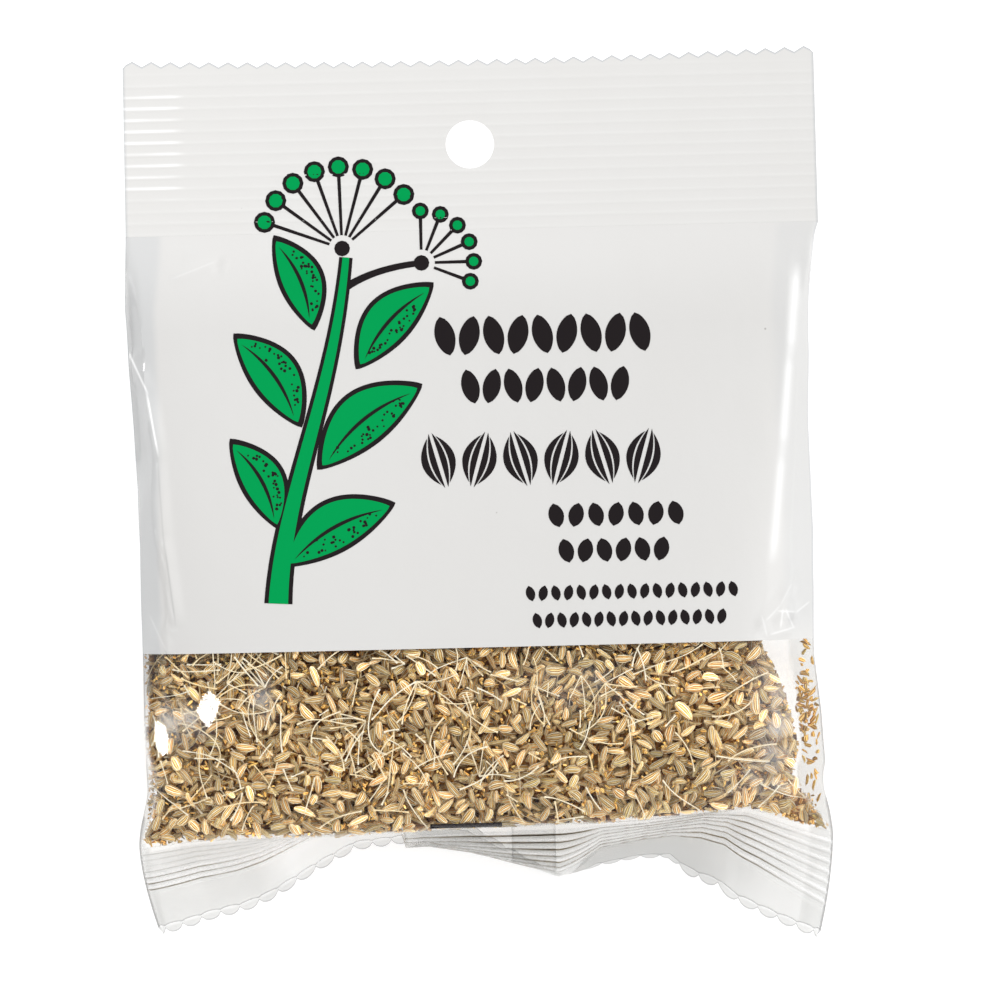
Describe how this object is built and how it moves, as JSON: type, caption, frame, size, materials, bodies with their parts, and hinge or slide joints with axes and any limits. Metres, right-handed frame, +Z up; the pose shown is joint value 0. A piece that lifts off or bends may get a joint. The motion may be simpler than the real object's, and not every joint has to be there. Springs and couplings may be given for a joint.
{
  "type": "bag of anise seed",
  "caption": "Sealed film pillow bag of whole anise seed, lying on its back: white printed front with a clear window strip, punched header, curled toothed bottom seal.",
  "frame": {"origin": "centre of the bag's footprint, on the surface it lies on", "axes": "+Z up out of the printed front, +Y towards the punched header, +X across the front from left to right"},
  "size_m": [0.1144, 0.147, 0.0176],
  "materials": {
    "printed_film": "white ink under glossy film, crimped where it is welded",
    "clear_film": "clear thin polypropylene film, wrinkled and crimped",
    "green_ink": "flat green ink under glossy film",
    "black_ink": "flat black ink under glossy film",
    "seed": "dry ribbed seed, tan to brown with pale ribs",
    "stalk": "thin dry straw-coloured stalk"
  },
  "bodies": {
    "root": {"seed_bag": "printed_film"}
  },
  "joints": []
}
